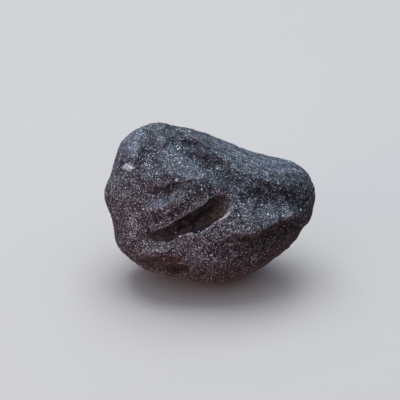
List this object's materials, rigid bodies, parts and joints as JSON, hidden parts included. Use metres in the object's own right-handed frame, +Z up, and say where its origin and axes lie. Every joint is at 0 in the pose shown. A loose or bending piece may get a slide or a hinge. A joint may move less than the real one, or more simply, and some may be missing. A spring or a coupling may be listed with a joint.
{
  "type": "tektite",
  "caption": "Lump of black natural glass with folds, a deep slanting furrow and pits, resting on a small worn flat.",
  "frame": {"origin": "on the ground under the middle of the bounding box", "axes": "+Z up, +X along the stone from its blunt end to its tip, -Y the way the face looks"},
  "size_m": [0.042, 0.0282, 0.0328],
  "materials": {
    "tektite_glass": "matte, finely pitted natural glass, opaque except at thin edges"
  },
  "bodies": {
    "root": {"tektite": "tektite_glass"}
  },
  "joints": []
}
